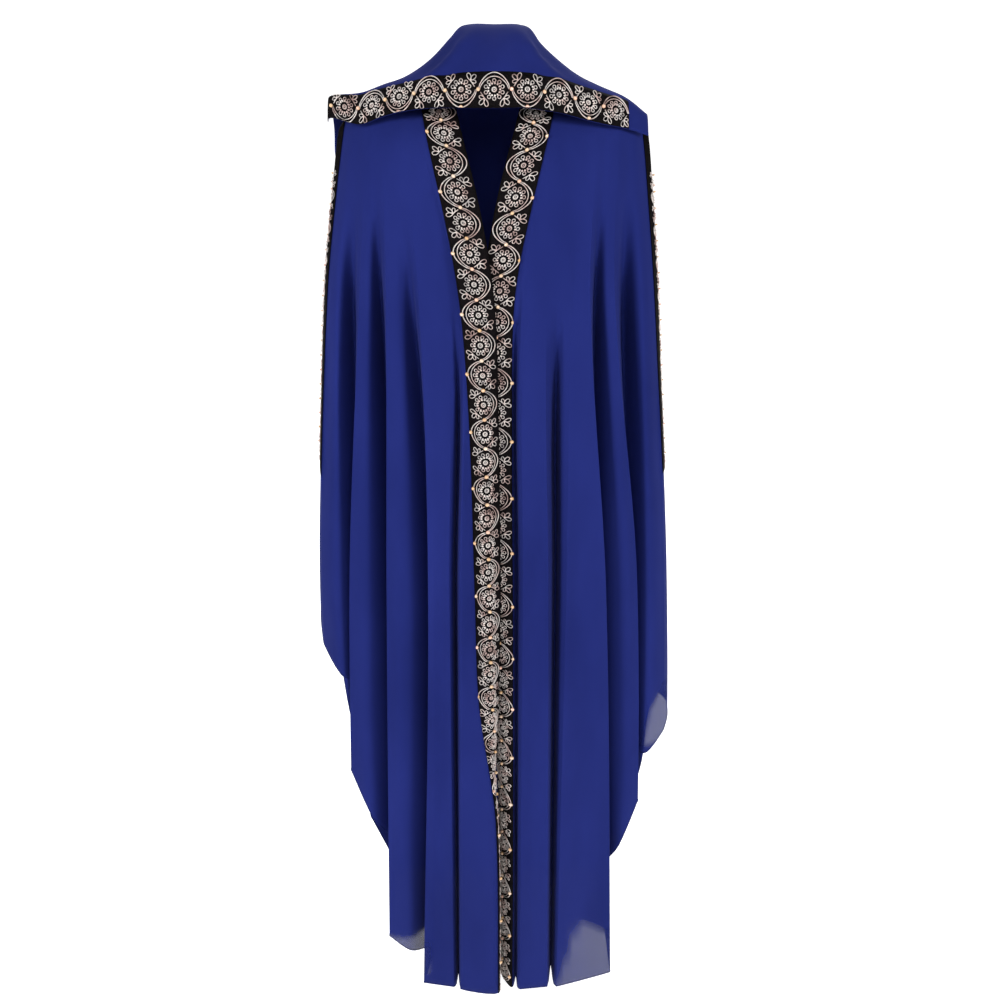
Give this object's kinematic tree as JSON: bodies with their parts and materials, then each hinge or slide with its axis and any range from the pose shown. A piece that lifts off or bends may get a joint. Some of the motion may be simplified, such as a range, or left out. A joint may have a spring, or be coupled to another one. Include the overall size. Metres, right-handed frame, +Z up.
{
  "type": "abaya with hood",
  "caption": "Open-front butterfly abaya in thin cloth, with embroidered front edges, arm openings and a hood laid over the shoulders.",
  "frame": {"origin": "base of the neck, on the shoulder line, where a wearer's shoulders hold the garment", "axes": "+Z up, -Y the way the wearer faces, +X the wearer's left"},
  "size_m": [0.552, 0.3364, 1.4817],
  "materials": {
    "chiffon": "thin royal-blue chiffon, matte with a faint sheen",
    "galloon": "black ribbon with silver and gold corded embroidery and pearl beads"
  },
  "bodies": {
    "root": {"right_front": "chiffon", "left_front": "chiffon", "back": "chiffon", "hood": "chiffon", "right_front_trim": "galloon", "left_front_trim": "galloon", "right_arm_trim_front": "galloon", "left_arm_trim_front": "galloon", "right_arm_trim_back": "galloon", "left_arm_trim_back": "galloon", "hood_trim": "galloon"}
  },
  "joints": []
}
